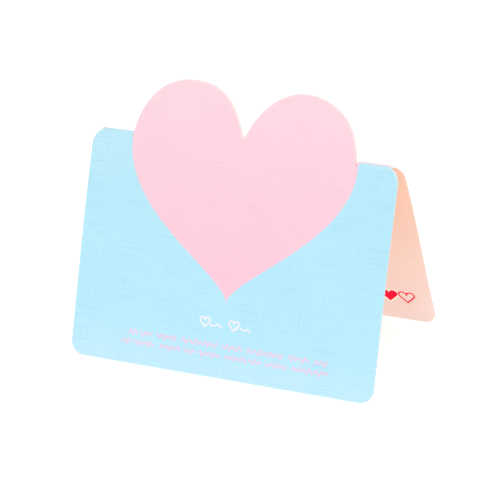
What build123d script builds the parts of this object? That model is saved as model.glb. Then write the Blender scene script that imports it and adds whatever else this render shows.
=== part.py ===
from build123d import *
import math
import os

# A folded greeting card that stands like a tent. It is one sheet of thick card, cut and
# scored flat, then folded. A heart is cut free above the fold, so that its two lobes stay
# in the plane of the front panel and leave a window of the same shape in the back panel.
#
# Frame: X runs along the fold, the front panel faces -Y, and Z = 0 is the table under the
# two foot edges. The origin lies under the middle of the fold.
# On a panel, u runs along the fold and v up the panel, with v = 0 on the flat sheet's fold line.

# Sheet
sheet_width = 105.0
panel_length = 74.0          # from the fold line to a foot edge, on the flat sheet
sheet_thickness = 0.7

# Fold
fold_outer_radius = 2.0      # a thick card rolls over rather than creasing sharply
panel_lean = 22.2            # each panel's angle from upright, in degrees

# Rounded corners
foot_corner_radius = 4.5
fold_corner_inset = 4.2      # how far in from the side the fold ends
fold_corner_drop = 5.4       # how far below the fold line the side begins to round

# Heart, as its cutting line
heart_half_width = 38.5
heart_widest_v = -2.7        # its widest place lies just under the fold line
heart_notch_v = 1.9          # bottom of the dip between the lobes
cut_gap = 0.15               # what the blade takes from the edge of the lobes

# Each lobe, measured to its own side of the middle: its highest point, the control point that
# bends its curve up from the dip, how far its curve runs level at the top, towards the dip
# and outwards, and the height from which it comes straight down at its side
right_lobe_top = (19.6, 18.55)
right_lobe_rise = (3.0, 10.8)
right_lobe_level = (8.9, 6.7)
right_lobe_side_v = 14.4
left_lobe_top = (18.7, 18.8)     # the left lobe is a little fuller
left_lobe_rise = (4.7, 16.5)
left_lobe_level = (7.4, 14.0)
left_lobe_side_v = 5.2

# The bend, seen along X
bend_angle = 180 - 2 * panel_lean
inner_radius = fold_outer_radius - sheet_thickness
middle_radius = fold_outer_radius - sheet_thickness / 2
bend_half_length = math.radians(bend_angle / 2) * middle_radius

half_width = sheet_width / 2
lean = math.radians(panel_lean)
straight_length = panel_length - bend_half_length
axis_height = straight_length * math.cos(lean) - inner_radius * math.sin(lean)
bend_axis = Vector(0, 0, axis_height)

# Each panel's outer face as a sketch plane, with its origin where v = 0
front_normal = Vector(0, -math.cos(lean), math.sin(lean))
front_up = Vector(0, math.sin(lean), math.cos(lean))
front_plane = Plane(
    origin=bend_axis + front_normal * fold_outer_radius + front_up * bend_half_length,
    x_dir=(1, 0, 0),
    z_dir=front_normal,
)
back_normal = Vector(0, math.cos(lean), math.sin(lean))
back_up = Vector(0, -math.sin(lean), math.cos(lean))
back_plane = Plane(
    origin=bend_axis + back_normal * fold_outer_radius + back_up * bend_half_length,
    x_dir=(1, 0, 0),
    z_dir=-back_normal,
)


# One panel, flat, from the fold line down to its foot edge
with BuildSketch() as panel:
    with BuildLine():
        foot = Line((0, -panel_length), (half_width - foot_corner_radius, -panel_length))
        foot_corner = JernArc(foot @ 1, (1, 0), foot_corner_radius, 90)
        side = Line(foot_corner @ 1, (half_width, -fold_corner_drop))
        fold_corner = TangentArc(side @ 1, (half_width - fold_corner_inset, 0), tangent=(0, 1))
        Line(fold_corner @ 1, (0, 0))
        mirror(about=Plane.YZ)
    make_face()
    # the last stretch below the fold line belongs to the bend
    Rectangle(sheet_width, 2 * bend_half_length, mode=Mode.SUBTRACT)


def lobe_line(hand, top, rise, level, side_v):
    """The cutting line of one lobe, to the right (hand 1) or the left (hand -1): up from the dip
    to its top, then down to the heart's widest place. Gives this second, outer curve."""
    Bezier(
        (0, heart_notch_v),
        (hand * rise[0], rise[1]),
        (hand * (top[0] - level[0]), top[1]),
        (hand * top[0], top[1]),
    )
    return Bezier(
        (hand * top[0], top[1]),
        (hand * (top[0] + level[1]), top[1]),
        (hand * heart_half_width, side_v),
        (hand * heart_half_width, heart_widest_v),
    )


# The cutting line of both lobes. It is straight below the heart's widest place and is
# closed inside the front panel, clear of the bend.
lobe_base_v = min(heart_widest_v, -bend_half_length) - fold_outer_radius
with BuildSketch() as lobes:
    with BuildLine():
        right_lobe = lobe_line(
            1, right_lobe_top, right_lobe_rise, right_lobe_level, right_lobe_side_v
        )
        left_lobe = lobe_line(
            -1, left_lobe_top, left_lobe_rise, left_lobe_level, left_lobe_side_v
        )
        Polyline(
            right_lobe @ 1,
            (heart_half_width, lobe_base_v),
            (-heart_half_width, lobe_base_v),
            left_lobe @ 1,
        )
    make_face()

# The window is what the lobes take out of the back panel: the same line, turned over the fold
with BuildSketch() as window:
    mirror(lobes.sketch, about=Plane.XZ)
    with Locations((0, sheet_width / 2)):
        Rectangle(sheet_width, sheet_width, mode=Mode.SUBTRACT)


def reach(edge, v, default):
    """How far out from the middle an edge of the flat outline lies at height v."""
    if v < edge.bounding_box().min.Y:
        return default
    crossings = edge.intersect(Axis((0, v, 0), (1, 0, 0)))
    return max(abs(vertex.X) for vertex in crossings.vertices())


# The bend between the panels is left only at the two ends of the fold, between the lobes
# and the rounded corners. Its cut walls stand square to the sheet all the way round, so
# each strip is a ring cut to a loft of radial sections.
sections_per_half = 5


def bend_strip(hand, lobe):
    """The bend on the right (hand 1) or on the left (hand -1), beside the given lobe."""
    with BuildPart() as trim:
        for half in (-1, 1):
            for step in range(sections_per_half + 1):
                angle = math.radians(half * bend_angle / 2 * step / sections_per_half)
                v = angle * middle_radius
                inner_x = reach(lobe, v, heart_half_width)
                outer_x = reach(fold_corner, -abs(v), half_width)
                radial = Plane(
                    origin=bend_axis,
                    x_dir=(1, 0, 0),
                    z_dir=(0, -math.cos(angle), math.sin(angle)),
                )
                with BuildSketch(radial):
                    with Locations((hand * (inner_x + outer_x) / 2, middle_radius)):
                        Rectangle(outer_x - inner_x, sheet_thickness + inner_radius)
            loft()
    with BuildPart() as strip:
        with BuildSketch(Plane(origin=bend_axis, x_dir=(0, 1, 0), z_dir=(1, 0, 0))):
            with BuildLine():
                start = 90 - bend_angle / 2
                outer = CenterArc((0, 0), fold_outer_radius, start, bend_angle)
                inner = CenterArc((0, 0), inner_radius, start, bend_angle)
                Line(outer @ 0, inner @ 0)
                Line(outer @ 1, inner @ 1)
            make_face()
        extrude(amount=half_width, both=True)
        add(trim.part, mode=Mode.INTERSECT)
    return strip.part


right_strip = bend_strip(1, right_lobe)
left_strip = bend_strip(-1, left_lobe)

with BuildPart() as card:
    with BuildSketch(front_plane):
        add(panel.sketch)
        add(lobes.sketch)
        # the blade's slit, which frees the lobes from the bend beside them
        slit_x = heart_half_width - cut_gap
        with Locations((slit_x, -bend_half_length)):
            Rectangle(sheet_width, sheet_width, align=(Align.MIN, Align.MIN), mode=Mode.SUBTRACT)
        with Locations((-slit_x, -bend_half_length)):
            Rectangle(sheet_width, sheet_width, align=(Align.MAX, Align.MIN), mode=Mode.SUBTRACT)
    extrude(amount=-sheet_thickness)
    with BuildSketch(back_plane):
        add(panel.sketch)
        add(window.sketch, mode=Mode.SUBTRACT)
    extrude(amount=sheet_thickness)
    add(right_strip)
    add(left_strip)

card.part.label = "card"
os.makedirs("parts", exist_ok=True)
export_step(card.part, "parts/card.step")

print("card:", len(card.part.solids()), "solid, volume", round(card.part.volume, 1), "mm3")
print("size", card.part.bounding_box().size, "ridge at", round(axis_height + fold_outer_radius, 2))
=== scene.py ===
# %% [markdown]
# # A folded greeting card with a heart that stands above its fold
#
# The real card is one sheet of stiff linen-textured board. A blade cuts a heart's two lobes
# free across the fold, so that when the sheet is folded like a tent the lobes stay up in the
# plane of the front panel, and the back panel keeps a window of the same shape.
#
# This file loads the measured part, then dresses it: a finer sheet with rounded cut edges,
# printed colours, a linen surface and soft studio light. Lengths are written in millimetres
# and turned into Blender's metres with `MM`.

import bmesh
import bpy
import numpy as np
from mathutils import Matrix, Vector


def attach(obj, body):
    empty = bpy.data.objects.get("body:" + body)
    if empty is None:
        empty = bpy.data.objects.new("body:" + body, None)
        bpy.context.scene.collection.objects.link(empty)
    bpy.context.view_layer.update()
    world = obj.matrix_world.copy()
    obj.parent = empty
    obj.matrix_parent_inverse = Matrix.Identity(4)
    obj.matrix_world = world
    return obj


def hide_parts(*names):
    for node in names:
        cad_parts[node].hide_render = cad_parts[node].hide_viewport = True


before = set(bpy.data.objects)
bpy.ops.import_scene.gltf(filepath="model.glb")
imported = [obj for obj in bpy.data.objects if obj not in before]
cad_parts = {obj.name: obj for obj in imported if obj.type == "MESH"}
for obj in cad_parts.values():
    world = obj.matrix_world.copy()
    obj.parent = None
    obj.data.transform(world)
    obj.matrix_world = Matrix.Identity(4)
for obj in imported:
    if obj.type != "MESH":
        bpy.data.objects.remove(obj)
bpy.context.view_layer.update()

MM = 0.001

# %% [markdown]
# ## The camera
#
# The card was photographed with a long lens from the right and from above, and the camera
# was tipped a little. A long lens could be faked by moving a short one back and cropping,
# but the perspective of the card's edges fixes the distance, so the camera stands at that
# distance and looks at a point under the fold. Its axes are built from three angles, which
# keeps the tilt exact, where a Track To constraint would straighten it.

# %% Stand the camera
CAMERA_AZIMUTH = 25.486      # degrees to the right of the front panel
CAMERA_ELEVATION = 25.928    # degrees above the table
CAMERA_ROLL = -3.113         # degrees
CAMERA_DISTANCE = 790.83     # millimetres, and so are the rest
CAMERA_TARGET = (0.018, 0.0, 31.99)
CAMERA_LENS = 178.03
SENSOR_WIDTH = 36.0


def stand_camera(azimuth, elevation, roll, distance, target, lens):
    """Back axis = (sin a cos e, -cos a cos e, sin e), right axis = (cos a, sin a, 0), up axis =
    back x right; right and up are then turned by the roll, and the camera stands distance
    behind the target."""
    a, e, r = np.radians((azimuth, elevation, roll))
    back = Vector((np.sin(a) * np.cos(e), -np.cos(a) * np.cos(e), np.sin(e)))
    right = Vector((np.cos(a), np.sin(a), 0.0))
    up = back.cross(right)
    axes = (right * np.cos(r) + up * np.sin(r), up * np.cos(r) - right * np.sin(r), back)
    camera = bpy.data.objects.new("camera", bpy.data.cameras.new("camera"))
    bpy.context.scene.collection.objects.link(camera)
    camera.matrix_world = Matrix.Translation((Vector(target) + back * distance) * MM) @ (
        Matrix(axes).transposed().to_4x4()
    )
    camera.data.lens = lens
    camera.data.sensor_width = SENSOR_WIDTH
    camera.data.clip_start = 10 * MM
    bpy.context.scene.camera = camera
    return camera


camera = stand_camera(
    CAMERA_AZIMUTH, CAMERA_ELEVATION, CAMERA_ROLL, CAMERA_DISTANCE, CAMERA_TARGET, CAMERA_LENS
)
print("camera at", [round(x, 3) for x in camera.location])

# %% [markdown]
# ## Lamps and world
#
# Small goods like this are photographed on a light table, inside a bright tent of light, so
# that there are hardly any shadows. A white world does most of that work. A soft lamp far
# off and low, a little to the right of the camera, reaches in under the card to its peach
# inside and is as bright there as on the front panel. A weak one higher up on the left looks
# over the front panel at the fold, and a large one overhead lights the tops of the lobes. A
# lamp out at the side would reach the inside as well, but it would burn out the cut edges
# that face it. The Standard view keeps pastel inks as clear as they look on the card.

# %% Light the set
WORLD_STRENGTH = 0.4
WHITE = (1.0, 1.0, 1.0, 1.0)
AIM_HEIGHT = 35.0            # the lamps look at this height over the middle of the table
lamp_plan = {   # name: (position in mm, width in mm, power in watts)
    "low_softbox": ((863.0, -1329.0, 223.0), 480.0, 8.0),
    "front_softbox": ((-600.0, -900.0, 800.0), 480.0, 2.5),
    "top_softbox": ((120.0, 260.0, 900.0), 700.0, 5.0),
}


def softbox(name, position, width, power):
    """A square area lamp at the position, turned so that it shines at the card."""
    lamp = bpy.data.objects.new(name, bpy.data.lights.new(name, "AREA"))
    lamp.data.size = width * MM
    lamp.data.energy = power
    lamp.location = Vector(position) * MM
    towards = Vector((0.0, 0.0, AIM_HEIGHT)) * MM - lamp.location
    lamp.rotation_euler = towards.to_track_quat("-Z", "Y").to_euler()
    bpy.context.scene.collection.objects.link(lamp)


for name, (position, width, power) in lamp_plan.items():
    softbox(name, position, width, power)

world = bpy.data.worlds.new("white tent")
world.use_nodes = True
background = world.node_tree.nodes["Background"]
background.inputs["Color"].default_value = WHITE
background.inputs["Strength"].default_value = WORLD_STRENGTH
bpy.context.scene.world = world
bpy.context.scene.view_settings.view_transform = "Standard"
print("lamps:", list(lamp_plan))

# %% [markdown]
# ## Sums over a surface
#
# Every finish below is worked out by shader nodes. Wiring each Math node by hand hides the
# idea, so a `Field` wraps one node output and lets it be used in ordinary sums: `a * b + 1`
# adds a Multiply and an Add node. Most fields end as a mask, 1 where something is and 0
# where it isn't. The border of printed ink is never quite sharp, so `printed` softens it.

# %% Fields
INK_EDGE = 0.06              # how far, in millimetres, ink fades on each side of its border


class Field:
    """A number that changes over the surface, held by a node's output."""

    def __init__(self, tree, socket):
        self.tree, self.socket = tree, socket

    def calc(self, operation, *values):
        """A Math node of that operation on the values."""
        node = self.tree.nodes.new("ShaderNodeMath")
        node.operation = operation
        for socket, value in zip(node.inputs, values):
            plug(self.tree, socket, value)
        return Field(self.tree, node.outputs[0])

    def __add__(self, other):
        return self.calc("ADD", self, other)

    def __sub__(self, other):
        return self.calc("SUBTRACT", self, other)

    def __rsub__(self, other):
        return self.calc("SUBTRACT", other, self)

    def __mul__(self, other):
        return self.calc("MULTIPLY", self, other)

    def __truediv__(self, other):
        return self.calc("DIVIDE", self, other)

    def most(self, other):
        return self.calc("MAXIMUM", self, other)

    def least(self, other):
        return self.calc("MINIMUM", self, other)

    def over(self, other):
        return self.calc("GREATER_THAN", self, other)

    def abs(self):
        return self.calc("ABSOLUTE", self)

    def root(self):
        return self.calc("SQRT", self)

    def wave(self):
        return self.calc("SINE", self)

    def ease(self, low, high):
        """0 below low, 1 above high, and a smooth step between them."""
        node = self.tree.nodes.new("ShaderNodeMapRange")
        node.interpolation_type = "SMOOTHSTEP"
        plug(self.tree, node.inputs["Value"], self)
        plug(self.tree, node.inputs["From Min"], low)
        plug(self.tree, node.inputs["From Max"], high)
        return Field(self.tree, node.outputs["Result"])

    def printed(self):
        """1 where the field is above zero and 0 where it is below, with ink's soft border."""
        return self.ease(-INK_EDGE, INK_EDGE)


def plug(tree, socket, value):
    """Links a field or a node's output to a socket, or sets a plain value on it."""
    if isinstance(value, Field):
        value = value.socket
    if isinstance(value, bpy.types.NodeSocket):
        tree.links.new(value, socket)
    else:
        socket.default_value = value


print("a field can also be used with", [tool for tool in vars(Field) if tool[0] != "_"])

# %% [markdown]
# ## Colours and noise
#
# The numbers of a colour on a screen aren't amounts of light, so `ink` turns them into the
# linear ones that Blender reckons with. `paint` lays one colour over another through a
# mask, as a printer does. `noise` gives the small unevenness that keeps a surface from
# looking drawn; it has two dimensions, because print and paper lie flat.


# %% Inks, noise and coordinates
def ink(red, green, blue):
    """A colour as a screen shows it, 0 to 255, as Blender's linear red, green, blue, alpha:
    ((c + 0.055) / 1.055) ^ 2.4, or c / 12.92 where c is very dark."""
    c = np.array((red, green, blue)) / 255
    linear = np.where(c > 0.04045, ((c + 0.055) / 1.055) ** 2.4, c / 12.92)
    return (*linear.tolist(), 1.0)


def paint(tree, under, upper, cover):
    """The upper colour over the under one, where cover is 1."""
    node = tree.nodes.new("ShaderNodeMix")
    node.data_type = "RGBA"
    plug(tree, node.inputs["Factor"], cover)
    plug(tree, node.inputs["A"], under)
    plug(tree, node.inputs["B"], upper)
    return node.outputs["Result"]


def noise(tree, x, y, detail=2.0):
    """Smooth random values about 0.5 that change over a distance of one in x and in y."""
    place = tree.nodes.new("ShaderNodeCombineXYZ")
    plug(tree, place.inputs["X"], x)
    plug(tree, place.inputs["Y"], y)
    node = tree.nodes.new("ShaderNodeTexNoise")
    node.noise_dimensions = "2D"
    node.inputs["Scale"].default_value = 1.0
    node.inputs["Detail"].default_value = detail
    plug(tree, node.inputs["Vector"], place.outputs["Vector"])
    return Field(tree, node.outputs["Fac"])


def split(tree, vector):
    """The three numbers of a vector, as fields."""
    node = tree.nodes.new("ShaderNodeSeparateXYZ")
    plug(tree, node.inputs[0], vector)
    return [Field(tree, out) for out in node.outputs]


print("pale blue in linear light:", np.round(ink(192, 238, 253), 3).tolist())

# %% [markdown]
# ## The light table
#
# The floor is a pale sheet that is lit a little from below, as a light table is. It fills
# the shadows round the feet and sends light up into the tent, so that the inside is palest
# near the table. A disc does.

# %% Lay the floor
FLOOR_RADIUS = 1500.0
FLOOR_PALE, FLOOR_COOL = ink(247, 250, 255), ink(244, 247, 252)
PATCHES_PER_METRE = 4.0      # of the faint mottle
TABLE_GLOW = 0.5
floor_mesh = bpy.data.meshes.new("floor")
shape = bmesh.new()
bmesh.ops.create_circle(shape, cap_ends=True, segments=96, radius=FLOOR_RADIUS * MM)
shape.to_mesh(floor_mesh)
shape.free()
floor = bpy.data.objects.new("floor", floor_mesh)
bpy.context.scene.collection.objects.link(floor)

floor_paint = bpy.data.materials.new("pale floor")
floor_paint.use_nodes = True
tree = floor_paint.node_tree
x, y = split(tree, tree.nodes.new("ShaderNodeTexCoord").outputs["Object"])[:2]
mottle = noise(tree, x * PATCHES_PER_METRE, y * PATCHES_PER_METRE)
shader = tree.nodes["Principled BSDF"]
plug(tree, shader.inputs["Base Color"], paint(tree, FLOOR_PALE, FLOOR_COOL, mottle))
shader.inputs["Roughness"].default_value = 0.9
shader.inputs["Specular IOR Level"].default_value = 0.1
shader.inputs["Emission Color"].default_value = WHITE
shader.inputs["Emission Strength"].default_value = TABLE_GLOW
floor_mesh.materials.append(floor_paint)
print("floor radius", FLOOR_RADIUS, "mm")

# %% [markdown]
# ## The sheet before it is folded
#
# A card is designed flat. On the flat sheet u runs along the fold and v up the front panel,
# with v = 0 on the fold line, so the front panel lies at v below 0 and the back panel above.
# The packed part has the same sizes, apart from the last two: its slit is 0.15 wide, and its
# dip is sharp. Each lobe's outline is two smooth curves, joined at the lobe's top.

# %% Sizes of the flat sheet
SHEET_WIDTH = 105.0
PANEL_LENGTH = 74.0
THICKNESS = 0.7
FOLD_RADIUS = 2.0            # outside of the bend
PANEL_LEAN = 22.2            # degrees from upright
FOOT_CORNER = 4.5
FOLD_CORNER_INSET = 4.2
FOLD_CORNER_DROP = 5.4
HEART_HALF_WIDTH = 38.5
HEART_WIDEST_V = -2.7
HEART_NOTCH_V = 1.9
RIGHT_LOBE = ((0.0, HEART_NOTCH_V), (3.0, 10.8), (10.7, 18.55), (19.6, 18.55),
              (26.3, 18.55), (HEART_HALF_WIDTH, 14.4), (HEART_HALF_WIDTH, HEART_WIDEST_V))
LEFT_LOBE = ((0.0, HEART_NOTCH_V), (4.7, 16.5), (11.3, 18.8), (18.7, 18.8),
             (32.7, 18.8), (HEART_HALF_WIDTH, 5.2), (HEART_HALF_WIDTH, HEART_WIDEST_V))
BLADE_GAP = 0.08             # what the blade takes from the edge of the lobes
DIP_ROUNDING = 0.7           # how much shallower the blunt blade leaves the dip


def bezier(points, t):
    """Cubic Bezier: (1-t)^3 P0 + 3(1-t)^2 t P1 + 3(1-t) t^2 P2 + t^3 P3, for each t."""
    p0, p1, p2, p3 = np.array(points)
    t = t[:, None]
    return (1 - t) ** 3 * p0 + 3 * (1 - t) ** 2 * t * p1 + 3 * (1 - t) * t**2 * p2 + t**3 * p3


def lobe_curve(lobe, t):
    """Two Beziers that share the fourth point, the lobe's top: the first runs over t = 0 to a
    half, from the dip, and the second from there to the heart's widest place at t = 1. The
    dip is rounded: at a height h over its point, the curve is raised by r exp(-h / r)."""
    rising = bezier(lobe[:4], np.minimum(2 * t, 1))
    falling = bezier(lobe[3:], np.maximum(2 * t - 1, 0))
    rising[:, 1] += DIP_ROUNDING * np.exp((HEART_NOTCH_V - rising[:, 1]) / DIP_ROUNDING)
    return np.where(t[:, None] < 0.5, rising, falling)


half_width = SHEET_WIDTH / 2
fold_end = half_width - FOLD_CORNER_INSET
print("flat sheet", SHEET_WIDTH, "x", 2 * PANEL_LENGTH, "mm; the lobes rise", RIGHT_LOBE[3][1],
      "and", LEFT_LOBE[3][1], "mm above the fold line")

# %% [markdown]
# ## Columns across the sheet
#
# The flat sheet becomes a grid. Filling its outline with triangles would be quick, but long
# thin triangles shade badly and can't follow the bend. Instead each column of the grid runs
# from the foot edge to a point on the cut line. Their ends follow the heart's own curve,
# packed tightly where the lobe turns down to the fold, then the short fold line beside it,
# then the arc of the rounded corner. Under each of these stretches their feet are evenly
# spaced.

# %% Work out the columns
LOBE_STEPS, STRIP_STEPS, CORNER_STEPS = 96, 14, 10
LOBE_PACKING = 1.7           # above 1, the steps along a lobe get shorter towards its side
corner_radius = (FOLD_CORNER_INSET**2 + FOLD_CORNER_DROP**2) / (2 * FOLD_CORNER_INSET)
corner_sweep = np.arcsin(FOLD_CORNER_DROP / corner_radius)


def half_columns(lobe):
    """Foot points and end points of the columns from the middle to one side. Ends: on the
    lobe's curve at t = 1 - (1 - s)^packing, then evenly along the fold line, then at even
    angles on a circle of radius (inset^2 + drop^2) / (2 inset). Feet: even, then round the
    corner."""
    s = np.linspace(0, 1, LOBE_STEPS + 1)[:, None]
    lobe_end = lobe_curve(lobe, 1 - (1 - s[:, 0]) ** LOBE_PACKING)
    lobe_foot = (0.0, -PANEL_LENGTH) + s * (HEART_HALF_WIDTH, 0.0)
    s = np.linspace(0, 1, STRIP_STEPS + 1)[1:, None]
    slit_end, line_end = np.array([(HEART_HALF_WIDTH, HEART_WIDEST_V), (fold_end, 0.0)])
    strip_end = slit_end * (1 - s) + line_end * s
    foot_line = half_width - FOOT_CORNER
    strip_foot = (HEART_HALF_WIDTH, -PANEL_LENGTH) + s * (foot_line - HEART_HALF_WIDTH, 0.0)
    angle = np.linspace(corner_sweep, 0, CORNER_STEPS + 1)[1:]
    corner_end = np.stack([half_width - corner_radius * (1 - np.cos(angle)),
                           corner_radius * np.sin(angle) - FOLD_CORNER_DROP], 1)
    angle = np.linspace(0, np.pi / 2, CORNER_STEPS + 1)[1:]
    corner_foot = np.stack([foot_line + FOOT_CORNER * np.sin(angle),
                            -PANEL_LENGTH + FOOT_CORNER * (1 - np.cos(angle))], 1)
    return (np.concatenate([lobe_foot, strip_foot, corner_foot]),
            np.concatenate([lobe_end, strip_end, corner_end]))


right_foot, right_end = half_columns(RIGHT_LOBE)
left_foot, left_end = (half[:0:-1] * (-1, 1) for half in half_columns(LEFT_LOBE))
front_foot = np.concatenate([left_foot, right_foot])
front_end = np.concatenate([left_end, right_end])

last = len(front_foot) - 1
column = np.arange(last + 1)
slit_left, slit_right = CORNER_STEPS + STRIP_STEPS, last - CORNER_STEPS - STRIP_STEPS
in_heart = (column > slit_left) & (column < slit_right)
past_fold = np.minimum(column, last - column) < CORNER_STEPS
print(len(column), "columns;", int(in_heart.sum()), "of them cross the heart")

# %% [markdown]
# ## Rows up the sheet
#
# Rows run from the foot to the cut line, close together for the last five millimetres,
# where the card bends, and again near the foot, where the edge is rounded. The back panel
# is the same grid turned over the fold line: its columns end on the same heart curve, and
# at the rounded corners on the corner's other half. The blade that freed the lobes took a
# little of their sides, so their ends there are moved in.

# %% Lay out the flat grid
BEND_ROWS = np.linspace(0, 5.2, 20)                # millimetres from the cut line
PANEL_ROWS = (6.2, 8, 11, 16, 23, 32, 42, 52, 61, 68, 71.5, 73.3, PANEL_LENGTH)
GAP_HEIGHT = 1.2             # the gap opens over this height above the slit's end,
GAP_FROM, GAP_TO = 24, 34    # and between these distances from the middle

to_cut = np.concatenate([BEND_ROWS, PANEL_ROWS])
share = 1 - to_cut[::-1] / PANEL_LENGTH            # 0 at the foot, 1 at the cut line
rows = len(share)
FRONT, BACK = 0, 1

back_end = np.where(past_fold[:, None], front_end * (1, -1), front_end)
near_slit = np.clip((front_end[:, 1] - HEART_WIDEST_V) / GAP_HEIGHT, 0, 1)
near_slit *= np.clip((np.abs(front_end[:, 0]) - GAP_FROM) / (GAP_TO - GAP_FROM), 0, 1)
front_end[:, 0] -= np.sign(front_end[:, 0]) * BLADE_GAP * near_slit * in_heart
foot = np.stack([front_foot, front_foot * (1, -1)])[:, None]
end = np.stack([front_end, back_end])[:, None]
flat = foot + (end - foot) * share[:, None, None]  # panel, row, column, (u, v)
print("flat grid:", flat.shape)

# %% [markdown]
# ## The way round the edges
#
# The sheet's outline is two closed walks over the grid: one round the whole sheet, and one
# round the heart's slit, along the lobes and back along the window. Each walk keeps the
# sheet on its left, so turning the walk's direction a quarter to the left always points
# into the sheet. That is the way in which the edges will be rounded.


# %% Walk round the sheet and round the slit
def walk(panel, row, columns):
    """Grid places (panel, row, column), one for each step along the sheet's edge."""
    return np.stack(np.broadcast_arrays(panel, row, columns), 1)


inner_rows, top_row = np.arange(1, rows - 1), rows - 1
round_sheet = np.concatenate([
    walk(FRONT, 0, column),
    walk(FRONT, inner_rows, last),
    walk(FRONT, top_row, column[:-CORNER_STEPS - 1:-1]),
    walk(BACK, top_row, column[-CORNER_STEPS - 1:]),
    walk(BACK, inner_rows[::-1], last),
    walk(BACK, 0, column[::-1]),
    walk(BACK, inner_rows, 0),
    walk(BACK, top_row, column[:CORNER_STEPS]),
    walk(FRONT, top_row, column[CORNER_STEPS::-1]),
    walk(FRONT, inner_rows[::-1], 0),
])
round_slit = np.concatenate([
    walk(FRONT, top_row, np.arange(slit_right, slit_left - 1, -1)),
    walk(BACK, top_row, np.arange(slit_left + 1, slit_right)),
])
MITRE_LIMIT = 1.5
LIP_FADE = 5.0               # the lips shrink over this distance towards the slit's ends and dip
TINY = 1e-9                  # keeps a step of no length from dividing by zero


def inward(points):
    """For a closed walk with the sheet on its left: the unit normal into the sheet at each
    step, made longer at a corner by 1 / cos(half the turn), as a mitre is, up to a limit."""
    ahead = np.roll(points, -1, 0) - points
    ahead /= np.maximum(np.linalg.norm(ahead, axis=1, keepdims=True), TINY)
    normal = (ahead + np.roll(ahead, 1, 0))[:, ::-1] * (-1, 1)
    length = np.maximum(np.linalg.norm(normal, axis=1, keepdims=True), TINY)
    return normal / length * np.minimum(2 / length, MITRE_LIMIT)


shift = np.zeros_like(flat)
tight = np.array([(HEART_HALF_WIDTH, HEART_WIDEST_V), (-HEART_HALF_WIDTH, HEART_WIDEST_V),
                  (0.0, HEART_NOTCH_V)])
for steps in (round_sheet, round_slit):
    at = tuple(steps.T)
    reach = np.linalg.norm(flat[at][:, None] - tight, axis=2).min(1)
    shift[at] = inward(flat[at]) * np.clip(reach / LIP_FADE, 0, 1)[:, None] ** 1.5
for fold_corner in (CORNER_STEPS, last - CORNER_STEPS):    # one point of both panels
    shift[:, top_row, fold_corner] = shift[:, top_row, fold_corner].sum(0)
rise = share[1:-1, None, None]
shift[:, 1:-1, 1:-1] = shift[:, :1, 1:-1] * (1 - rise) + shift[:, -1:, 1:-1] * rise
print(len(round_sheet), "steps round the sheet,", len(round_slit), "round the slit")

# %% [markdown]
# ## Bending the flat sheet
#
# Paper doesn't stretch when it folds: a line on the sheet keeps its length and only turns.
# So every point goes from the flat sheet to its place in space by one rule. Below the bend
# it lies on a panel, and over the bend it goes round a circle. The lobes are cut free of the
# bend, so they carry straight on. The panels aren't quite flat: the stiff fold pushes both
# out a little below itself, the back one most. Blender's Simple Deform could bend a plane,
# but it would bend the lobes with it.

# %% The folding rule
FRONT_BOW_HIGH, FRONT_BOW_LOW = 0.45, 0.22         # how far the panels lie out of flat
BACK_BOW = 0.85
bend_turn = np.radians(180 - 2 * PANEL_LEAN)
middle_radius = FOLD_RADIUS - THICKNESS / 2
straight = PANEL_LENGTH - bend_turn / 2 * middle_radius
lean = np.radians(PANEL_LEAN)
axis_height = straight * np.cos(lean) - (FOLD_RADIUS - THICKNESS) * np.sin(lean)


def fold(u, v, depth, carries_on):
    """The place in space, in metres, of a point u, v on the sheet at a depth under its outside.
    Angle round the bend = v / middle radius, held within the bend; the point stands FOLD_RADIUS
    - depth out from the bend's axis along that angle's normal, and then goes down its panel by
    what is left of v. Where carries_on is true, the angle stays the front panel's. With s as
    the share of the way to the foot, the front panel bows out by 28.9 s^2 (1 - s)^3 of its high
    bow and 6.75 s^2 (1 - s) of its low one, and the back panel by 9.48 s (1 - s)^3 of its own.
    The numbers 28.9, 6.75 and 9.48 bring the greatest value of each curve to one."""
    angle = np.clip(v / middle_radius, -bend_turn / 2, bend_turn / 2)
    angle = np.where(carries_on, -bend_turn / 2, angle)
    beyond = v - angle * middle_radius
    s = np.clip(-beyond / straight, 0, 1)
    bow = FRONT_BOW_HIGH * 28.9 * s**2 * (1 - s) ** 3 + FRONT_BOW_LOW * 6.75 * s**2 * (1 - s)
    s = np.where(carries_on, 0, np.clip(beyond / straight, 0, 1))
    bow = bow + BACK_BOW * 9.48 * s * (1 - s) ** 3
    out = FOLD_RADIUS - depth + bow
    y = out * np.sin(angle) + beyond * np.cos(angle)
    z = axis_height + out * np.cos(angle) - beyond * np.sin(angle)
    return np.stack([u, y, z], -1) * MM


ridge = fold(0.0, 0.0, 0.0, False)
print("the fold's ridge stands", round(float(ridge[2] / MM), 2), "mm above the table")

# %% [markdown]
# ## The cut edge's profile
#
# A die presses the board before it parts it, so the printed side rolls over into the cut,
# and the other side stays sharper. The profile is that edge's cross-section: how far in
# from the cut, and how deep under the printed side, each line of the edge lies. Carried
# along both walks, it closes the sheet all round. A Bevel modifier would round the edges
# too, but it can't give the two sides different lips.

# %% The profile and the sheet's patches
OUTER_LIP, OUTER_LIP_DEPTH, INNER_LIP = 0.28, 0.18, 0.07
WALL_LINES = (0.45 * THICKNESS, 0.7 * THICKNESS)   # depths of two lines on the wall itself
quarter = np.radians(np.linspace(0, 90, 5))
back_round = quarter[::-2]
rim_inset = np.concatenate([OUTER_LIP * (1 - np.sin(quarter)), (0, 0),
                            INNER_LIP * (1 - np.sin(back_round))])
rim_depth = np.concatenate([OUTER_LIP_DEPTH * (1 - np.cos(quarter)), WALL_LINES,
                            THICKNESS - INNER_LIP * (1 - np.cos(back_round))])
PRINTED, CUT, INSIDE = 0, 1, 2
rim_side = np.array([PRINTED] * 4 + [CUT] * 3 + [INSIDE] * 2)

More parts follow.
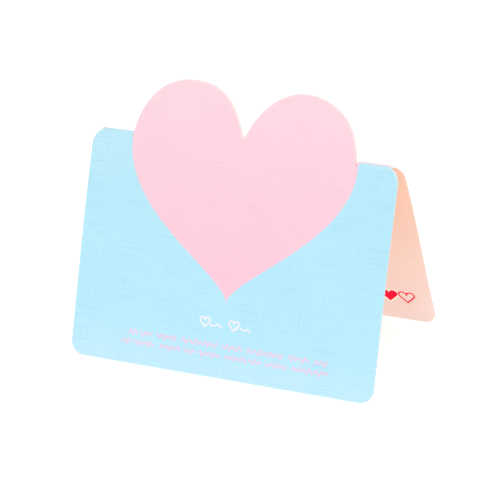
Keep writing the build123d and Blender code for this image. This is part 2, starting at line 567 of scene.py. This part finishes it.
patches = []                 # each (u, v, depth), whether it carries on, and each row's side
for panel in (FRONT, BACK):
    for inset, depth, side in ((OUTER_LIP, 0.0, PRINTED), (INNER_LIP, THICKNESS, INSIDE)):
        uv = flat[panel] + shift[panel] * inset
        patches.append((np.dstack([uv, np.full(uv.shape[:2], depth)]),
                        np.broadcast_to(in_heart & (panel == FRONT), uv.shape[:2]),
                        np.full(rows - 1, side)))
for steps in (round_sheet, round_slit):
    at = tuple(np.concatenate([steps, steps[:1]]).T)       # the last step is the first again
    uv = flat[at] + shift[at] * rim_inset[:, None, None]
    depth = np.broadcast_to(rim_depth[:, None], uv.shape[:2])
    carries_on = np.broadcast_to(in_heart[at[2]] & (at[0] == FRONT), uv.shape[:2])
    patches.append((np.dstack([uv, depth]), carries_on, rim_side))
print(len(patches), "patches; edge profile of", len(rim_inset), "lines")

# %% [markdown]
# ## Joining the patches
#
# The patches share their border points, so merging points that coincide closes the surface.
# Each point also keeps two attributes. `sheet` is its place (u, v, depth) on the flat sheet:
# the print and the linen texture are drawn in those coordinates, so that they follow the
# paper round the fold as real print does. `from_cut` is how far it lies from the nearest
# cut, for the wear along the edges.

# %% Build the folded sheet
CUT_SPACING = 0.4            # between the points that stand for the cut
STRETCHES = 40               # the cut is gone along in so many parts, to spare memory
MERGE_DISTANCE = 1e-7        # in metres


def distance_to_cut(points):
    """The least distance from each point to points evenly spaced along both walks."""
    nearest = np.full(len(points), np.inf)
    for steps in (round_sheet, round_slit):
        line = flat[tuple(np.concatenate([steps, steps[:1]]).T)]
        run = np.concatenate([[0], np.cumsum(np.linalg.norm(np.diff(line, axis=0), axis=1))])
        along = np.arange(0, run[-1], CUT_SPACING)
        dense = np.stack([np.interp(along, run, line[:, k]) for k in (0, 1)], 1)
        for stretch in np.array_split(dense, STRETCHES):
            gap = np.linalg.norm(points[:, None] - stretch, axis=2).min(1)
            nearest = np.minimum(nearest, gap)
    return nearest


def sheet_mesh(name, patches):
    """All patches' points, folded, and a quad between every four neighbours on a grid."""
    points, places, quads, sides = [], [], [], []
    for place, carries_on, side_of_row in patches:
        start = sum(len(done) for done in points)
        index = start + np.arange(carries_on.size).reshape(carries_on.shape)
        corners = (index[:-1, :-1], index[:-1, 1:], index[1:, 1:], index[1:, :-1])
        quads.append(np.stack(corners, -1).reshape(-1, 4))
        sides.append(np.repeat(side_of_row, index.shape[1] - 1))
        points.append(fold(*np.moveaxis(place, -1, 0), carries_on).reshape(-1, 3))
        places.append(place.reshape(-1, 3))
    mesh = bpy.data.meshes.new(name)
    mesh.from_pydata(np.concatenate(points).tolist(), [], np.concatenate(quads).tolist())
    mesh.polygons.foreach_set("material_index", np.concatenate(sides).astype(np.int32))
    sheet = mesh.attributes.new("sheet", "FLOAT_VECTOR", "POINT")
    sheet.data.foreach_set("vector", np.concatenate(places).astype(np.float32).ravel())
    from_cut = mesh.attributes.new("from_cut", "FLOAT", "POINT")
    distance = distance_to_cut(np.concatenate(places)[:, :2])
    from_cut.data.foreach_set("value", distance.astype(np.float32))
    return mesh


def close_surface(mesh, distance):
    """Merges coinciding points, turns all faces outwards and shades them smoothly."""
    shape = bmesh.new()
    shape.from_mesh(mesh)
    bmesh.ops.remove_doubles(shape, verts=shape.verts, dist=distance)
    bmesh.ops.recalc_face_normals(shape, faces=shape.faces)
    open_edges = sum(not edge.is_manifold for edge in shape.edges)
    volume = shape.calc_volume()
    shape.to_mesh(mesh)
    shape.free()
    mesh.shade_smooth()
    print(mesh.name, len(mesh.polygons), "faces,", open_edges, "open edges,",
          round(volume / MM**3, 1), "mm3")


card_mesh = sheet_mesh("card_sheet", patches)
close_surface(card_mesh, MERGE_DISTANCE)
card_sheet = bpy.data.objects.new("card_sheet", card_mesh)
bpy.context.scene.collection.objects.link(card_sheet)
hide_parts("card")
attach(card_sheet, "root")

# %% [markdown]
# ## Node groups as printer's tools
#
# The outside and the inside of the card are the same linen board, and several ornaments
# are the same shape at different sizes. Each of these effects is a node group: a named box
# with inputs and outputs, built once and placed wherever it is needed.


# %% Make and place node groups
def start_group(name, inputs, outputs):
    """A new group with sockets by name and kind; gives its tree, its inputs and its exits."""
    tree = bpy.data.node_groups.new(name, "ShaderNodeTree")
    for in_out, sockets in (("INPUT", inputs), ("OUTPUT", outputs)):
        for title, kind in sockets.items():
            tree.interface.new_socket(title, in_out=in_out, socket_type="NodeSocket" + kind)
    entry = tree.nodes.new("NodeGroupInput")
    given = {title: Field(tree, entry.outputs[title]) for title in inputs}
    return tree, given, tree.nodes.new("NodeGroupOutput")


def place_group(tree, group, **values):
    """Places a group in a tree, plugs in values by name, and gives its outputs by name."""
    node = tree.nodes.new("ShaderNodeGroup")
    node.node_tree = group
    for title, value in values.items():
        plug(tree, node.inputs[title.replace("_", " ")], value)
    return {out.name: Field(tree, out) for out in node.outputs}


print("node groups before the first one:", len(bpy.data.node_groups))

# %% [markdown]
# ## Linen embossing
#
# The board was rolled between textured cylinders, which press a faint weave into it: fine
# short threads along the fold and across it, over the paper's own grain, and here and there
# a longer thread that the ink has sunk into. A real weave texture would look too regular.
# Noise stretched along each thread direction breaks up as the embossing does, and only the
# few highest values of a much longer noise become a long thread. The whole numbers added
# to u and v move each noise elsewhere, so that no two are alike.

# %% Linen group
WEFT_SHARE, WARP_SHARE, GRAIN_SHARE = 0.42, 0.25, 0.33       # of the height
GRAINS_PER_MM = 3.5

linen, given, leave = start_group(
    "linen emboss",
    {"Sheet": "Vector", "Streak length": "Float", "Thread pitch": "Float"},
    {"Height": "Float", "Tone": "Float"},
)
u, v = split(linen, given["Sheet"])[:2]
length, pitch = given["Streak length"], given["Thread pitch"]
weft = noise(linen, u / length, v / pitch)
warp = noise(linen, u / pitch + 40.0, v / length)
grain = noise(linen, u * GRAINS_PER_MM, v * GRAINS_PER_MM + 90.0)
height = weft * WEFT_SHARE + warp * WARP_SHARE + grain * GRAIN_SHARE
long_weft = noise(linen, u / length * 0.1 + 7.0, v / pitch * 0.8, detail=0.0).ease(0.66, 0.78)
long_warp = noise(linen, u / pitch * 0.8 + 70.0, v / length * 0.12, detail=0.0).ease(0.72, 0.82)
long_threads = long_weft.most(long_warp * 0.7)
plug(linen, leave.inputs["Height"], height)
plug(linen, leave.inputs["Tone"], height.ease(0.36, 0.64) * 0.8 + long_threads * 0.6)
print(linen.name, "has", len(linen.nodes), "nodes")

# %% [markdown]
# ## Worn edges
#
# Along a cut the ink is stretched over the rolled lip and rubbed by hands, so it is paler
# there; on the outside lips of the lobes the same paleness also stands for a painted
# highlight. The mesh already knows how far each point lies from the cut, so the wear is that
# distance turned round, and a little noise keeps its border from being a drawn line.

# %% Edge wear group
WEAR_PATCHES_PER_MM = 1.3
RAGGED = 0.5                 # how far the noise moves the border, as a share of the reach

edge_wear, given, leave = start_group(
    "edge wear", {"Sheet": "Vector", "From cut": "Float", "Reach": "Float"}, {"Wear": "Float"}
)
u, v = split(edge_wear, given["Sheet"])[:2]
patches_of_wear = noise(edge_wear, u * WEAR_PATCHES_PER_MM, v * WEAR_PATCHES_PER_MM)
patchy = given["From cut"] + (patches_of_wear - 0.5) * RAGGED * given["Reach"]
plug(edge_wear, leave.inputs["Wear"], 1.0 - patchy.ease(0.0, given["Reach"]))
print(edge_wear.name, "has", len(edge_wear.nodes), "nodes")

# %% [markdown]
# ## A small heart
#
# The ornaments are hearts of two round lobes that touch at the middle, with straight sides
# running down to the tip. Distance to such a heart has a simple formula, and a distance
# is more useful than a mask: below zero is inside, and a narrow band about zero is an
# outline of even width. Up is 1, or -1 on the back panel, where v grows downwards.

# %% Small heart group
HEART_DROP = 2.6             # from the lobes' middle to the tip, in lobe radii
small_heart, given, leave = start_group(
    "small heart",
    {"Sheet": "Vector", "Middle u": "Float", "Middle v": "Float", "Lobe radius": "Float",
     "Up": "Float"},
    {"Distance": "Float"},
)
u, v = split(small_heart, given["Sheet"])[:2]
x = ((u - given["Middle u"]) / given["Lobe radius"]).abs()
y = (v - given["Middle v"]) / given["Lobe radius"] * given["Up"]
side_angle = 2 * np.arctan(1 / HEART_DROP)
lobe_distance = ((x - 1.0) * (x - 1.0) + y * y).root() - 1.0
side_line = x * np.cos(side_angle) - (y + HEART_DROP) * np.sin(side_angle)
shoulder = (x - 1.0) * np.sin(side_angle) + y * np.cos(side_angle)
distance = lobe_distance.least(side_line.most(shoulder).most(y)) * given["Lobe radius"]
plug(small_heart, leave.inputs["Distance"], distance)
print(small_heart.name, "has", len(small_heart.nodes), "nodes")

# %% [markdown]
# ## Pen waves
#
# Plain waves drawn with a pen are the other ornament. Slow sines make their length and
# height wander a little, and lift the pen off the paper now and then. A sine drawn as a
# band would be thin where it is steep, so its height difference is divided by the length
# of its slope, sqrt(1 + slope^2), which gives the pen an even width.

# %% Pen wave group
TURN = 2 * np.pi             # one whole wave, in radians
PEN_LANDING = 0.1            # the pen lands and lifts over this distance

pen_wave, given, leave = start_group(
    "pen wave",
    {"Sheet": "Vector", "Line v": "Float", "From u": "Float", "To u": "Float", "Swing": "Float",
     "Wavelength": "Float", "Pen width": "Float"},
    {"Cover": "Float"},
)
u, v = split(pen_wave, given["Sheet"])[:2]
row = given["Line v"]
turn = u * TURN / given["Wavelength"] + (u * 0.8 + row).wave() * 0.9
swing = given["Swing"] * ((u * 1.7 + row * 3.1).wave() * 0.3 + 0.7)
slope = swing * TURN / given["Wavelength"] * (turn + TURN / 4).wave()     # by the cosine
from_line = (v - row - swing * turn.wave()).abs() / (slope * slope + 1.0).root()
pressed = (u * 0.83 + row * 2.1).wave() + (u * 1.37 + row * 0.7).wave()
after_start = u.ease(given["From u"] - PEN_LANDING, given["From u"])
before_end = (given["To u"] + PEN_LANDING - u).ease(0.0, PEN_LANDING)
drawn = after_start * before_end * pressed.ease(-1.2, -1.1)
plug(pen_wave, leave.inputs["Cover"], (given["Pen width"] / 2.0 - from_line).printed() * drawn)
print(pen_wave.name, "has", len(pen_wave.nodes), "nodes")

# %% [markdown]
# ## The printed heart
#
# The lobes above the fold and the print below it make one large heart. Its lower half is
# print only, so its curve has to come from nodes. A Float Curve holds how wide the heart is
# at each height, one for each side, because the print isn't quite even: it was laid a
# little to the right of the cut and its right side is a little fuller. A point is inside
# where both sides lie farther out than it does.

# %% Printed heart group
HEART_TIP_V = -50.0
RIGHT_PRINT = ((0.0, HEART_TIP_V), (0.4, -41.5), (38.82, -26.25), (38.82, HEART_WIDEST_V))
LEFT_PRINT = ((0.0, HEART_TIP_V), (0.2, -41.8), (38.5, -26.0), (38.5, HEART_WIDEST_V))
PRINT_MIDDLE = 0.3           # the print's middle lies this far to the right of the cut's
CURVE_POINTS = 25


def up_the_heart(v):
    """The height on the print: 0 at the tip and 1 at the widest place."""
    return (v - HEART_TIP_V) / (HEART_WIDEST_V - HEART_TIP_V)


def inside_half(points, outwards, height):
    """How far inside one side of the print a point lies: the side's width at this height, as a
    share of its full width, times that width, less how far outwards the point is."""
    node = outwards.tree.nodes.new("ShaderNodeFloatCurve")
    outline = bezier(points, np.linspace(0, 1, CURVE_POINTS))
    full_width = points[-1][0]
    for x, y in zip(up_the_heart(outline[1:-1, 1]), outline[1:-1, 0] / full_width):
        node.mapping.curves[0].points.new(x, y)
    node.mapping.update()
    plug(outwards.tree, node.inputs["Value"], height)
    return Field(outwards.tree, node.outputs[0]) * full_width - outwards


printed_heart, given, leave = start_group(
    "printed heart", {"Sheet": "Vector"}, {"Cover": "Float"}
)
u, v = split(printed_heart, given["Sheet"])[:2]
inside_right = inside_half(RIGHT_PRINT, u - PRINT_MIDDLE, up_the_heart(v))
inside_left = inside_half(LEFT_PRINT, PRINT_MIDDLE - u, up_the_heart(v))
cover = inside_right.least(inside_left).printed() * v.over(HEART_TIP_V)
plug(printed_heart, leave.inputs["Cover"], cover)
print(printed_heart.name, "has", len(printed_heart.nodes), "nodes")

# %% [markdown]
# ## Printed board
#
# Outside and inside are printed on the same matte board. One function builds either one
# around its colour: the linen's tone makes the ink a little denser and less shiny, its
# height goes to a Bump node, and the worn lip lets the pale board through. The colour
# itself is passed in as a function, because that is all that differs. A second layer of
# ink would filter the light once more, so that a colour c became c squared and white stayed
# white. Other powers are other thicknesses of ink, and a Gamma node gives them.

# %% Board material
BOARD = ink(247, 240, 230)
STREAK_LENGTH, THREAD_PITCH = 1.4, 0.26
WEAR_REACH = 0.9
EMBOSS_DEPTH = 0.035


def read(tree, attribute):
    """The outputs of a node that reads one of the folded sheet's two attributes."""
    node = tree.nodes.new("ShaderNodeAttribute")
    node.attribute_name = attribute
    return node.outputs


def printed_board(name, draw):
    """A matte linen board; draw(tree, sheet, wear) gives the colour of its worn print. Where the
    emboss is high, and very slightly to the right, the ink is denser: it is the colour to a
    power of 0.905 + 0.19 weave + 0.1 cloud + 0.0004 u, and then 1.005 - 0.0175 weave times
    that. The weave is the emboss's tone times 0.6 for a colour full of red light and up to 1.6
    for one without, because the blue shows it most."""
    material = bpy.data.materials.new(name)
    material.use_nodes = True
    tree = material.node_tree
    sheet, from_cut = read(tree, "sheet")["Vector"], read(tree, "from_cut")["Fac"]
    texture = place_group(tree, linen, Sheet=sheet, Streak_length=STREAK_LENGTH,
                          Thread_pitch=THREAD_PITCH)
    wear = place_group(tree, edge_wear, Sheet=sheet, From_cut=from_cut, Reach=WEAR_REACH)["Wear"]
    u, v = split(tree, sheet)[:2]
    cloud = noise(tree, u * 0.05, v * 0.05)         # patches of two centimetres
    colour = draw(tree, sheet, wear)
    red = split(tree, colour)[0]
    weave = texture["Tone"] * (1.6 - red)
    density = tree.nodes.new("ShaderNodeGamma")
    plug(tree, density.inputs["Color"], colour)
    plug(tree, density.inputs["Gamma"], weave * 0.19 + cloud * 0.1 + u * 0.0004 + 0.905)
    shade = tree.nodes.new("ShaderNodeVectorMath")
    shade.operation = "SCALE"
    plug(tree, shade.inputs[0], density.outputs["Color"])
    plug(tree, shade.inputs["Scale"], 1.005 - weave * 0.0175)
    shader = tree.nodes["Principled BSDF"]
    plug(tree, shader.inputs["Base Color"], shade.outputs["Vector"])
    plug(tree, shader.inputs["Roughness"], texture["Tone"] * 0.12 + 0.56)
    shader.inputs["Specular IOR Level"].default_value = 0.08
    bump = tree.nodes.new("ShaderNodeBump")
    bump.inputs["Distance"].default_value = EMBOSS_DEPTH * MM
    plug(tree, bump.inputs["Height"], texture["Height"])
    plug(tree, shader.inputs["Normal"], bump.outputs["Normal"])
    return material


print("board colour in linear light:", np.round(BOARD[:3], 3))

# %% [markdown]
# ## The ornaments on the front
#
# Two small white hearts, each with a wavy tail, sit under the large heart's tip, and two
# lines of pink pen waves run along the foot. They could be curves laid on the sheet, but
# ink has no thickness, so each is a mask that lays its colour over what is already there.

# %% Draw the ornaments
SOFT_WHITE, WAVE_PINK = ink(244, 232, 233), ink(231, 199, 221)
WHITE_HEARTS, WHITE_HEART_V, TAIL_V = (-6.2, 3.8), -56.0, -57.4       # the middles' u, and v
TAIL_START, TAIL_STOP = 1.2, 5.8                   # from the heart's middle
WHITE_LINE = 0.24            # half the width of a white heart's outline
WAVE_LINES = ((-63.65, -32.5, 36.4), (-66.85, -34.6, 37.3))           # v, first u and last u


def front_ornaments(tree, sheet, colour):
    """The colour with white hearts, their tails and the pen waves laid over it."""
    for middle in WHITE_HEARTS:
        edge = place_group(tree, small_heart, Sheet=sheet, Middle_u=middle, Up=1.0,
                           Middle_v=WHITE_HEART_V, Lobe_radius=0.85)["Distance"]
        colour = paint(tree, colour, SOFT_WHITE, (WHITE_LINE - edge.abs()).printed())
        tail = place_group(tree, pen_wave, Sheet=sheet, Line_v=TAIL_V,
                           From_u=middle + TAIL_START, To_u=middle + TAIL_STOP,
                           Swing=0.5, Wavelength=2.6, Pen_width=0.42)["Cover"]
        colour = paint(tree, colour, SOFT_WHITE, tail)
    for line, start, stop in WAVE_LINES:
        wave = place_group(tree, pen_wave, Sheet=sheet, Line_v=line, From_u=start, To_u=stop,
                           Swing=0.75, Wavelength=1.9, Pen_width=0.56)["Cover"]
        colour = paint(tree, colour, WAVE_PINK, wave)
    return colour


print(len(WHITE_HEARTS), "white hearts and", len(WAVE_LINES), "lines of waves")

# %% [markdown]
# ## The outside print
#
# The front panel is pale blue up to the fold line, and the heart and everything beyond the
# fold are pale pink. The print sits a little askew on the fold. A painted highlight makes the
# blue and the pink paler along what is left of the fold line, where the bend faces the light,
# and a painted pool of light makes the blue paler round the fold's left end. Folding and
# handling rub the ink, so the board shows through on the lips, most on the lobes, on the
# back panel and at the fold's corners; on the lobes' lips that paleness is also a painted
# highlight.

# %% Draw the outside
PINK_AT_TOP, PINK_AT_TIP = ink(243, 208, 217), ink(243, 194, 209)
BLUE, BLUE_AT_FOOT, HIGHLIGHT_BLUE = ink(182, 226, 240), ink(191, 227, 241), ink(193, 230, 243)
PINK_TOP_V, BLUE_FADE_V = 15.0, -58.0              # where the two fades end and begin
PRINT_V, PRINT_TILT = 0.2, 0.014                   # the printed fold line: v = 0.2 - 0.014 u
FOLD_HIGHLIGHT_V, FOLD_HIGHLIGHT_FADE = -0.4, (0.2, 2.0)                 # the painted highlight along the fold fades over these,
LEFT_END_U, LEFT_POOL_FADE = -50.0, (5.0, 22.0)           # and the painted pool of light round its left end over these
CORNER_FROM_U, CORNER_TO_V = (43.0, 46.0), (3.0, 7.0)        # the worn corners by the fold


def outside_print(tree, sheet, wear):
    """Blue under the fold line, pink over it and in the heart, ornaments, wear, painted
    highlights.
    """
    u, v = split(tree, sheet)[:2]
    beyond_fold = (v + u * PRINT_TILT - PRINT_V).printed()
    pink = place_group(tree, printed_heart, Sheet=sheet)["Cover"].most(beyond_fold)
    blue_ink = paint(tree, BLUE_AT_FOOT, BLUE, v.ease(-PANEL_LENGTH, BLUE_FADE_V))
    from_left_end = ((u - LEFT_END_U) * (u - LEFT_END_U) + v * v).root()
    # painted highlight: the fold strip beside the heart is paler where the bend faces the light
    fold_highlight = (1.0 - (v - FOLD_HIGHLIGHT_V).abs().ease(*FOLD_HIGHLIGHT_FADE)) * u.abs().over(HEART_HALF_WIDTH)
    # painted pool of light round the fold's left end, joined with the fold's painted highlight
    pale = ((1.0 - from_left_end.ease(*LEFT_POOL_FADE)) * 0.45).most(fold_highlight)
    blue_ink = paint(tree, blue_ink, HIGHLIGHT_BLUE, pale)
    up_the_pink = (v - HEART_TIP_V) / (PINK_TOP_V - HEART_TIP_V)
    pink_ink = paint(tree, PINK_AT_TIP, PINK_AT_TOP, up_the_pink)
    colour = front_ornaments(tree, sheet, paint(tree, blue_ink, pink_ink, pink))
    fold_corner = u.abs().ease(*CORNER_FROM_U) * (1.0 - v.abs().ease(*CORNER_TO_V))
    freed = pink * v.ease(-1.0, 1.5)                # pink by the slit's foot gets little wear or painted highlight
    # paleness on the lips: wear, and on the lobes also a painted highlight where the lips face
    # the light
    wear_and_lip_highlight = (freed * (wear * wear * 0.35 + 0.28) + fold_corner * 0.35 + 0.05) * wear
    # the fold's painted highlight also lays pale board over the pink beyond the fold
    return paint(tree, colour, BOARD, wear_and_lip_highlight.most(fold_highlight * beyond_fold * 0.45))


outside = printed_board("outside_print", outside_print)
card_mesh.materials.append(outside)
print(outside.name, "has", len(outside.node_tree.nodes), "nodes")

# %% [markdown]
# ## The cut edge
#
# The wall of the cut shows the board's core, its fibres lying along the sheet; its colours
# are painted darker than the board as shade. The die dragged the ink of the printed side down
# over it, thinner and thinner, so it is tinted like the print beside it, and a trace of the
# peach inside shows along its other rim. On the back panel the peach covers nearly all of the
# wall. At the ends of the fold the wall is painted almost white, painted light over its shade.

# %% Edge material
# painted shade: both core colours are darker than the board
SHADED_CORE_PALE, SHADED_CORE_DARK = ink(234, 224, 214), ink(222, 210, 198)
PEACH_RIM, END_LIGHT_CREAM = ink(236, 194, 173), ink(255, 250, 244)
INK_THINS, PEACH_BEGINS = (0.2, 0.65), (0.5, 0.68)           # depths under the printed side
BACK_PEACH_V = (2.0, 8.0)
END_LIGHT_FROM_U, END_LIGHT_TO_V = (45.5, 48.0), (1.5, 4.0)
FIBRE_DEPTH = 0.03

cut_edge = bpy.data.materials.new("cut_edge")
cut_edge.use_nodes = True
tree = cut_edge.node_tree
sheet = read(tree, "sheet")["Vector"]
u, v, depth = split(tree, sheet)
fibre = noise(tree, (u + v) * 1.5, depth * 14.0)
core = paint(tree, SHADED_CORE_PALE, SHADED_CORE_DARK, fibre.ease(0.3, 0.75))
dragged = 0.6 - depth.ease(*INK_THINS) * 0.35
core = paint(tree, core, outside_print(tree, sheet, 0.0), dragged)
tinted = (depth.ease(*PEACH_BEGINS) * 0.4).most(v.ease(*BACK_PEACH_V) * 0.85)
core = paint(tree, core, PEACH_RIM, tinted)
# painted light: the wall at both ends of the fold is painted almost white over its shade
end_light = u.abs().ease(*END_LIGHT_FROM_U) * (1.0 - v.abs().ease(*END_LIGHT_TO_V))
core = paint(tree, core, END_LIGHT_CREAM, end_light * 0.9)
shader = tree.nodes["Principled BSDF"]
plug(tree, shader.inputs["Base Color"], core)
plug(tree, shader.inputs["Roughness"], fibre * 0.2 + 0.7)
shader.inputs["Specular IOR Level"].default_value = 0.2
bump = tree.nodes.new("ShaderNodeBump")
bump.inputs["Distance"].default_value = FIBRE_DEPTH * MM
plug(tree, bump.inputs["Height"], fibre)
plug(tree, shader.inputs["Normal"], bump.outputs["Normal"])
card_mesh.materials.append(cut_edge)
print(cut_edge.name, "has", len(tree.nodes), "nodes")

# %% [markdown]
# ## The inside print
#
# Inside, the card is a warm peach. It is painted deeper and warmer at the fold as shade, and
# paler and greyer towards the feet as light from the table. Low on the back panel, near its
# right side as seen from the front, a small filled red heart in a cream halo stands between
# two red hearts in outline.

# %% Draw the inside
SHADED_PEACH_AT_FOLD, LIT_PEACH_AT_FOOT = ink(240, 201, 176), ink(230, 209, 202)
RED, CREAM = ink(232, 0, 57), ink(246, 240, 222)
INSIDE_HEARTS = ((37.83, 1.5, True), (43.9, 1.35, False), (31.8, 1.35, False))
INSIDE_HEART_V = 61.8
HALO, RED_LINE = 0.42, 0.28  # the halo's width, and half the width of an outline


def inside_print(tree, sheet, wear):
    """Peach all over, with a filled heart between two outlined ones low on the back panel."""
    v = split(tree, sheet)[1]
    # painted shade and light: deeper peach at the fold, paler and greyer towards the table
    colour = paint(tree, SHADED_PEACH_AT_FOLD, LIT_PEACH_AT_FOOT, v.abs() / PANEL_LENGTH)
    for middle, radius, filled in INSIDE_HEARTS:
        edge = place_group(tree, small_heart, Sheet=sheet, Middle_u=middle, Up=-1.0,
                           Middle_v=INSIDE_HEART_V, Lobe_radius=radius)["Distance"]
        if filled:
            colour = paint(tree, colour, CREAM, (HALO - edge).printed())
            colour = paint(tree, colour, RED, (0.0 - edge).printed())
        else:
            colour = paint(tree, colour, RED, (RED_LINE - edge.abs()).printed())
    return paint(tree, colour, BOARD, wear * 0.05)


inside = printed_board("inside_print", inside_print)
card_mesh.materials.append(inside)
print(inside.name, "has", len(inside.node_tree.nodes), "nodes")

# %% [markdown]
